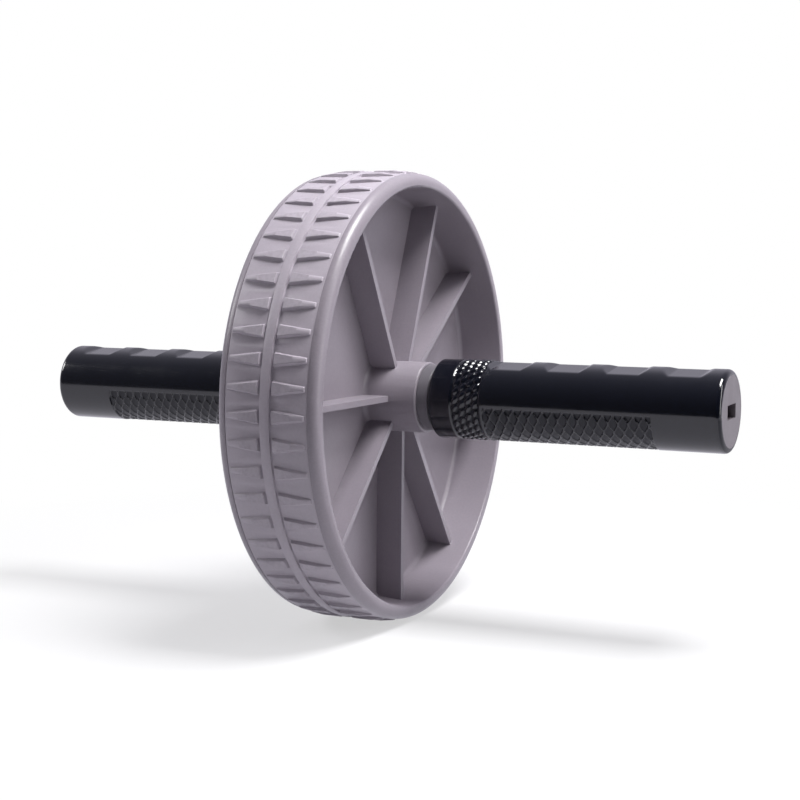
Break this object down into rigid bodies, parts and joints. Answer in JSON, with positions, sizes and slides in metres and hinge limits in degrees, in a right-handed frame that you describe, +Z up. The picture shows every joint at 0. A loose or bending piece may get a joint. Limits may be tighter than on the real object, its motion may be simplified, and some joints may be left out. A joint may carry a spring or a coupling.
{
  "type": "ab wheel roller",
  "caption": "Ab wheel roller: ribbed moulded wheel with a cleated tread, spinning on a steel axle that carries a finger-grooved handle at each end.",
  "frame": {"origin": "centre of the wheel, on the axle's axis", "axes": "+Y along the axle towards the right-hand handle, +Z up; the finger grooves are on top, turned 8 degrees towards +X"},
  "size_m": [0.1724, 0.28, 0.1724],
  "materials": {
    "wheel_plastic": "satin moulded grey",
    "tread_rubber": "satin moulded grey",
    "bush_plastic": "smooth dark grey",
    "grip_plastic": "glossy black",
    "core_plastic": "matt black",
    "plug_plastic": "satin moulded grey",
    "steel": "bright turned"
  },
  "bodies": {
    "handles": {"axle": "steel", "thrust_washer_right": "steel", "thrust_washer_left": "steel", "handle_core_right": "core_plastic", "handle_core_left": "core_plastic", "grip_right": "grip_plastic", "grip_left": "grip_plastic", "end_plug_right": "plug_plastic", "end_plug_left": "plug_plastic", "axle_screw_right": "steel", "axle_screw_left": "steel", "screw_washer_right": "steel", "screw_washer_left": "steel", "spring_washer_right": "steel", "spring_washer_left": "steel"},
    "wheel": {"tread_band": "tread_rubber", "wheel_half_right": "wheel_plastic", "wheel_half_left": "wheel_plastic", "hub_bush_right": "bush_plastic", "hub_bush_left": "bush_plastic"}
  },
  "joints": [
    {"name": "wheel_spin", "type": "hinge", "parent": "handles", "child": "wheel", "pos_m": [0, 0, 0], "axis": [0, 1, 0], "continuous": true}
  ]
}
